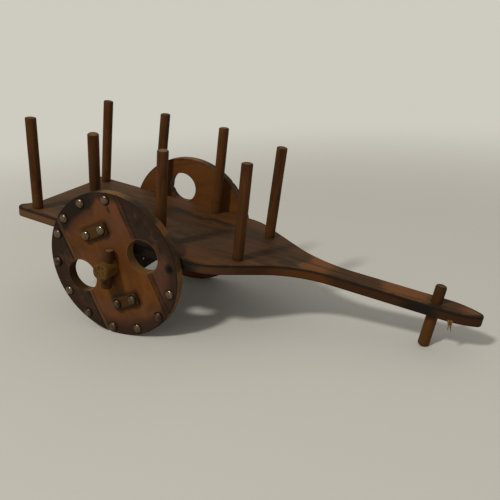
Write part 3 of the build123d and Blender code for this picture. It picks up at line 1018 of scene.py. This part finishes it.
class OXCART_OT_slats(bpy.types.Operator):
    """Make the hand-cut slats across the wheels' middle planks"""

    bl_idname = "oxcart.slats"
    bl_label = "Slats"

    STEPS_LONG = 26
    STEPS_WIDE = 12
    BURN_REACH = 0.0024
    WEAR_REACH = 0.0011
    WEAR_DEPTH = 0.0007
    UNEVEN_TOP = 0.00016
    UNEVEN_EDGE = 0.00022
    CORNER_WEAR = 0.05

    def execute(self, context):
        sizes, finish = context.scene.cart_sizes, slat_finish(context.scene.cart_finish)
        for side, out in SIDES.items():
            for number, way in ((1, 1), (2, -1)):
                node = f"slat_{side}_{number}"
                centre = wheel_spot(side, 0.0, way * sizes.slat_reach, 0.0)
                mesh = self.slat(f"cut_{node}", centre, wheel_directions(side), sizes, number * 5.1 + out)
                add_piece(mesh, f"wheel_{side}", "slat_wood", node, material=finish)
        return {"FINISHED"}

    def slat(self, name, centre, ways, sizes, seed):
        """A thin block whose top is a grid, closer at its worn edges, that falls away there."""
        across, along, out = ways
        half_long, half_wide = sizes.slat_length / 2, sizes.slat_width / 2
        columns, rows = self.STEPS_LONG + 1, self.STEPS_WIDE + 1
        points, edges, faces = [], [], []
        for layer, row, column in product((0, 1), range(rows), range(columns)):
            x = sin((column / self.STEPS_LONG - 0.5) * pi) * half_long
            y = sin((row / self.STEPS_WIDE - 0.5) * pi) * half_wide
            gap = min(half_long - abs(x), half_wide - abs(y))
            corner = max(0.0, (abs(x) / half_long) ** 10 + (abs(y) / half_wide) ** 10 - 1)
            shrink = 1 - self.CORNER_WEAR * corner
            ragged = self.UNEVEN_EDGE * noise.noise(Vector((x * 260 + seed, y * 260, layer)))
            worn = self.WEAR_DEPTH * max(0.0, 1 - gap / self.WEAR_REACH) ** 2
            worn += self.UNEVEN_TOP * noise.noise(Vector((x * 190, y * 320, seed)))
            height = sizes.slat_depth - worn if layer else 0.0
            grow = 1 + ragged / half_wide
            points.append(centre + across * (x * shrink) + along * (y * shrink * grow) + out * height)
            edges.append(max(0.0, 1 - gap / self.BURN_REACH) if layer else 1.0)
        count = columns * rows
        for row, column in product(range(rows - 1), range(columns - 1)):
            a = row * columns + column
            quad = (a, a + 1, a + 1 + columns, a + columns)
            faces += [tuple(reversed(quad)), tuple(corner + count for corner in quad)]
        rim = list(range(columns))
        rim += [row * columns + columns - 1 for row in range(1, rows)]
        rim += [(rows - 1) * columns + column for column in reversed(range(columns - 1))]
        rim += [row * columns for row in reversed(range(1, rows - 1))]
        faces += [(a, b, b + count, a + count) for a, b in zip(rim, rim[1:] + rim[:1])]
        return marked_mesh(name, points, faces, {"edge": edges}, sharp=40)


def node_tree(name, inputs):
    """A Geometry Nodes tree with a geometry input and output, and its other inputs by name."""
    tree = bpy.data.node_groups.new(name, "GeometryNodeTree")
    tree.interface.new_socket("Geometry", in_out="INPUT", socket_type="NodeSocketGeometry")
    tree.interface.new_socket("Geometry", in_out="OUTPUT", socket_type="NodeSocketGeometry")
    for socket_name, kind in inputs.items():
        tree.interface.new_socket(socket_name, in_out="INPUT", socket_type=f"NodeSocket{kind}")
    entry = tree.nodes.new("NodeGroupInput")
    return tree, {socket.name: Flow(tree, socket) for socket in entry.outputs if socket.name}


def random_turn(inputs, low, high):
    """A turn for each point, drawn between two sets of angles."""
    angles = inputs["Seed"].add("FunctionNodeRandomValue", {"data_type": "FLOAT_VECTOR"}, {
        0: low, 1: high, "Seed": inputs["Seed"]})
    return angles.add("FunctionNodeEulerToRotation", None, {0: angles})


def random_size(inputs, low, high, shift):
    """A number for each point, drawn between two others."""
    return inputs["Seed"].add("FunctionNodeRandomValue", {"data_type": "FLOAT"}, {
        2: low, 3: high, "Seed": inputs["Seed"] + shift}, 1)


def set_on_points(inputs, shape, turn, size, push):
    """Close a tree: a shape on each point, joined, pushed about, smoothed and finished."""
    points = inputs["Geometry"]
    made = points.add("GeometryNodeInstanceOnPoints", None, {
        "Points": points, "Instance": shape, "Rotation": turn, "Scale": size})
    made = points.add("GeometryNodeRealizeInstances", None, {"Geometry": made})
    made = points.add("GeometryNodeSetPosition", None, {"Geometry": made, "Offset": push})
    made = points.add("GeometryNodeSetShadeSmooth", None, {"Geometry": made})
    made = points.add("GeometryNodeSetMaterial", None, {"Geometry": made, "Material": inputs["Material"]})
    points.add("NodeGroupOutput", None, {0: made})


def grown(name, tree, points, marks, values):
    """The plain mesh that a tree makes from points that carry named marks."""
    holder = linked(name + "_points", marked_mesh(name + "_points", points, [], marks))
    modifier = holder.modifiers.new("grow", "NODES")
    modifier.node_group = tree
    for item in tree.interface.items_tree:
        if item.in_out == "INPUT" and item.name in values:
            modifier[item.identifier] = values[item.name]
    bpy.context.view_layer.update()
    evaluated = holder.evaluated_get(bpy.context.evaluated_depsgraph_get())
    result = bpy.data.meshes.new_from_object(evaluated)
    result.name = name
    bpy.data.objects.remove(holder)
    if not result.polygons:
        raise RuntimeError(f"{name}: the node tree made no faces")
    return result


# How far a tack may tip, in radians, and the least and the most of its size
TACK_TIP = 0.07
TACK_SIZES = (0.95, 1.04)


def tack_tree():
    """Dome tacks set on points, each turned and tipped a little."""
    tree, inputs = node_tree("tacks", {
        "Radius": "Float", "Height": "Float", "Dent": "Float", "Outward": "Vector", "Seed": "Int",
        "Material": "Material",
    })
    first, height = inputs["Geometry"], inputs["Height"]
    cone = first.add("GeometryNodeMeshCone", {"fill_type": "NGON"}, {
        "Vertices": 30, "Side Segments": 9, "Radius Top": 0.0, "Radius Bottom": inputs["Radius"],
        "Depth": height})
    x = first.add("ShaderNodeSeparateXYZ", None, {0: first.add("GeometryNodeInputPosition")})
    y = Flow(tree, x.socket.node.outputs[1])
    share = (distance(x, y) / inputs["Radius"]).most(0.0001)
    bend = share * (pi / 2)
    spread = bend.math("SINE", bend) / share
    dome = (x * spread).stack(y * spread, bend.math("COSINE", bend) * height)
    head = first.add("GeometryNodeSetPosition", None, {"Geometry": cone, "Position": dome})
    # Share of the dome's height, which the finish uses for the rubbed crown and for the painted-shade rim
    rub = first.add("GeometryNodeInputPosition").along((0.0, 0.0, 1.0)) / height
    head = first.add("GeometryNodeStoreNamedAttribute", {"data_type": "FLOAT", "domain": "POINT"}, {
        "Geometry": head, "Name": "rub", "Value": rub})
    outward = first.add("FunctionNodeAlignRotationToVector", {"axis": "Z"}, {"Vector": inputs["Outward"]})
    turned = first.add("FunctionNodeRotateRotation", {"rotation_space": "LOCAL"}, {
        "Rotation": outward,
        "Rotate By": random_turn(inputs, (-TACK_TIP, -TACK_TIP, -3.1), (TACK_TIP, TACK_TIP, 3.1))})
    size = random_size(inputs, *TACK_SIZES, 3)
    hammered = first.add("ShaderNodeTexNoise", None, {"Scale": 420.0, "Detail": 2.0})
    push = first.add("ShaderNodeVectorMath", {"operation": "SCALE"}, {
        0: inputs["Outward"], "Scale": (hammered - 0.5) * inputs["Dent"]})
    set_on_points(inputs, head, turned, size.stack(size, size), push)
    return tree


class OXCART_OT_tacks(bpy.types.Operator):
    """Set the dome tacks around the rims and on the slats, and the nails in the beam"""

    bl_idname = "oxcart.tacks"
    bl_label = "Tacks"

    # Angles of the rim's tacks from the line across the planks, and how tarnished each one is
    RIM = {
        "right": (
            (66.7, 0.45), (92.8, 0.60), (117.6, 0.45), (135, 0.50), (161.2, 1.00), (189.2, 0.30),
            (215, 0.85), (242.1, 0.80), (268.1, 0.50), (295.3, 1.00), (321.2, 0.35),
        ),
        "left": (
            (12, 0.3), (38, 0.5), (64, 0.2), (91, 0.4), (116, 0.3), (141, 0.7), (168, 0.3),
            (193, 0.5), (219, 0.2), (245, 0.4), (270, 0.3), (297, 0.6), (322, 0.3), (347, 0.4),
        ),
    }
    # Ways across and along the planks of the slats' tacks, and how tarnished each one is
    ON_SLATS = ((-1, -1, 0.90), (1, -1, 0.80), (-1, 1, 0.30), (1, 1, 0.15))
    SINK = 0.00012
    DENT = 0.0001
    NAIL_RADIUS = 0.0011
    NAIL_REACH = 0.0346
    NAIL_TARNISH = (-0.6, -0.4)

    def execute(self, context):
        sizes, tones = context.scene.cart_sizes, context.scene.cart_finish
        tree, finish = tack_tree(), tack_finish("tack_metal", tones.metal, tones)
        circle, half_spacing = sizes.tack_circle, sizes.tack_spacing / 2
        for side in SIDES:
            points = [wheel_spot(side, circle * cos(radians(angle)), circle * sin(radians(angle)), -self.SINK)
                      for angle, age in self.RIM[side]]
            points += [wheel_spot(side, x * half_spacing, y * sizes.slat_reach, sizes.slat_depth - self.SINK)
                       for x, y, age in self.ON_SLATS]
            tarnish = [row[-1] for row in self.RIM[side] + self.ON_SLATS]
            mesh = grown(f"tack_heads_{side}", tree, points, {"tarnish": tarnish}, {
                "Radius": sizes.tack_radius, "Height": sizes.tack_height, "Dent": self.DENT,
                "Outward": tuple(wheel_directions(side)[2]), "Seed": WHEELS[side].tack_seed,
                "Material": finish,
            })
            add_piece(mesh, f"wheel_{side}", "tack_metal", f"tacks_{side}")
        self.beam_nails(sizes, tree, tack_finish("nail_metal", tones.nail, tones))
        return {"FINISHED"}

    def beam_nails(self, sizes, tree, finish):
        """Two nail heads on the front of the axle's beam."""
        front = HUB + BED_FORWARD * (sizes.beam_half - self.SINK)
        points = [front + ACROSS * (way * self.NAIL_REACH) for way in SIDES.values()]
        mesh = grown("beam_nails", tree, points, {"tarnish": self.NAIL_TARNISH}, {
            "Radius": self.NAIL_RADIUS, "Height": self.NAIL_RADIUS / 2, "Dent": 0.0,
            "Outward": tuple(BED_FORWARD), "Seed": 2, "Material": finish,
        })
        add_piece(mesh, "cart", "tack_metal")


# The angles that a splinter hangs between, the least and the most of its size, and how far it curls
SPLINTER_TURNS = (pi - 0.3, -0.35, -3.0), (pi + 0.3, 0.35, 3.0)
SPLINTER_SIZES = (0.35, 1.0)
SPLINTER_CURL = (0.0012, 0.0012, 0.0)


def splinter_tree():
    """Thin torn fibres that hang from points, each at its own slant and length."""
    tree, inputs = node_tree("splinters", {
        "Radius": "Float", "Length": "Float", "Seed": "Int", "Material": "Material"})
    first = inputs["Geometry"]
    fibre = first.add("GeometryNodeMeshCone", {"fill_type": "NGON"}, {
        "Vertices": 6, "Side Segments": 4, "Radius Top": 0.00003, "Radius Bottom": inputs["Radius"],
        "Depth": inputs["Length"]})
    turn = random_turn(inputs, *SPLINTER_TURNS)
    size = random_size(inputs, *SPLINTER_SIZES, 1)
    girth = size * 0.5 + 0.5
    curl = first.add("ShaderNodeTexNoise", None, {"Scale": 260.0, "Detail": 1.0}, 1)
    push = first.vector("MULTIPLY", first.vector("SUBTRACT", curl, (0.5, 0.5, 0.5)), SPLINTER_CURL)
    set_on_points(inputs, fibre, turn, girth.stack(girth, size), push)
    return tree


class OXCART_OT_splinters(bpy.types.Operator):
    """Hang the torn fibres under the pole's right edge"""

    bl_idname = "oxcart.splinters"
    bl_label = "Splinters"

    # Places along the plank and across it, from its rear edge and its middle line
    ROOTS = (
        (0.3222, -0.0079), (0.3226, -0.0079), (0.3229, -0.0078), (0.3233, -0.0077), (0.3241, -0.0076),
        (0.3247, -0.0075),
    )
    ROOT_DEPTH = 0.0018
    RADIUS = 0.0009
    LENGTH = 0.0115

    def execute(self, context):
        sizes, tones = context.scene.cart_sizes, context.scene.cart_finish
        under = bed_origin(sizes) - BED_UP * (sizes.plank_depth - self.ROOT_DEPTH)
        points = [under + BED_FORWARD * x + ACROSS * y for x, y in self.ROOTS]
        mesh = grown("splinters", splinter_tree(), points, {}, {
            "Radius": self.RADIUS, "Length": self.LENGTH, "Seed": 5, "Material": splinter_finish(tones)})
        add_piece(mesh, "cart", "raw_wood")
        return {"FINISHED"}


class OXCART_OT_stage(bpy.types.Operator):
    """Set the floor, the light and the camera"""

    bl_idname = "oxcart.stage"
    bl_label = "Studio"

    FLOOR_SIDES = 64
    LAMP_PLACE = Vector((-0.36, -1.42, 1.8))
    LAMP_COLOUR = (1.0, 0.975, 0.93)
    ROOM_COLOUR = (1.0, 0.985, 0.96, 1.0)
    SENSOR_WIDTH = 36.0
    HALF_PIXEL = 0.001

    def execute(self, context):
        scene, stage = context.scene, context.scene.cart_stage
        self.floor(stage)
        self.lamp(stage)
        self.room(scene, stage)
        self.camera(scene, stage)
        scene.view_settings.view_transform = "Standard"
        return {"FINISHED"}

    def floor(self, stage):
        """A round floor."""
        turns = [2 * pi * step / self.FLOOR_SIDES for step in range(self.FLOOR_SIDES)]
        points = [Vector((cos(turn), sin(turn), 0.0)) * stage.floor_radius for turn in turns]
        mesh = marked_mesh("floor", points, [range(self.FLOOR_SIDES)], {})
        mesh.materials.append(floor_finish(stage))
        linked("floor", mesh)

    def lamp(self, stage):
        """A soft ceiling lamp behind the camera's left shoulder."""
        lamp = bpy.data.lights.new("ceiling_lamp", "AREA")
        lamp.shape = "DISK"
        lamp.size = stage.lamp_size
        lamp.energy = stage.lamp_power
        lamp.color = self.LAMP_COLOUR
        holder = linked("ceiling_lamp", lamp)
        holder.location = self.LAMP_PLACE
        holder.rotation_euler = (-self.LAMP_PLACE).to_track_quat("-Z", "Y").to_euler()

    def room(self, scene, stage):
        """An even light from the room, and the backdrop that the camera sees."""
        world = bpy.data.worlds.new("room")
        world.use_nodes = True
        world.node_tree.nodes.clear()
        start = Flow(world.node_tree, None)
        light, seen = (
            start.add("ShaderNodeBackground", None, {"Color": shown, "Strength": strength})
            for shown, strength in ((self.ROOM_COLOUR, stage.room_light), (stage.backdrop, 1.0))
        )
        both = start.add("ShaderNodeMixShader", None, {0: backdrop_seen(start), 1: light, 2: seen})
        start.add("ShaderNodeOutputWorld", None, {"Surface": both})
        scene.world = world

    def camera(self, scene, stage):
        """The photograph's camera."""
        camera = bpy.data.cameras.new("camera")
        camera.sensor_width = self.SENSOR_WIDTH
        camera.lens = stage.lens
        camera.shift_x, camera.shift_y = -self.HALF_PIXEL, self.HALF_PIXEL
        camera.clip_start = 0.01
        scene.camera = linked("camera", camera)
        scene.camera.location = stage.camera_place
        scene.camera.rotation_euler = Euler(stage.camera_turn)


PIECES = (
    OXCART_OT_plank, OXCART_OT_stakes, OXCART_OT_peg, OXCART_OT_axle, OXCART_OT_wheels, OXCART_OT_slats,
    OXCART_OT_tacks, OXCART_OT_splinters, OXCART_OT_stage,
)
GROUPS = {"cart_sizes": CartSizes, "cart_finish": CartFinish, "cart_stage": CartStage}


class OXCART_PT_sidebar(bpy.types.Panel):
    """Lists the cart's pieces and their finishes"""

    bl_idname = "OXCART_PT_sidebar"
    bl_label = "Ox cart"
    bl_space_type = "VIEW_3D"
    bl_region_type = "UI"
    bl_category = "Ox cart"

    def draw(self, context):
        for piece in PIECES:
            self.layout.operator(piece.bl_idname)
        for group, kind in GROUPS.items():
            column = self.layout.column()
            for name in kind.__annotations__:
                column.prop(getattr(context.scene, group), name)


CLASSES = (*GROUPS.values(), *PIECES, OXCART_PT_sidebar)


def register():
    for cls in CLASSES:
        bpy.utils.register_class(cls)
    for name, group in GROUPS.items():
        setattr(bpy.types.Scene, name, PointerProperty(type=group))


def unregister():
    for name in GROUPS:
        delattr(bpy.types.Scene, name)
    for cls in reversed(CLASSES):
        bpy.utils.unregister_class(cls)


def main():
    register()
    for piece in PIECES:
        group, name = piece.bl_idname.split(".")
        getattr(getattr(bpy.ops, group), name)()


if __name__ == "__main__":
    main()
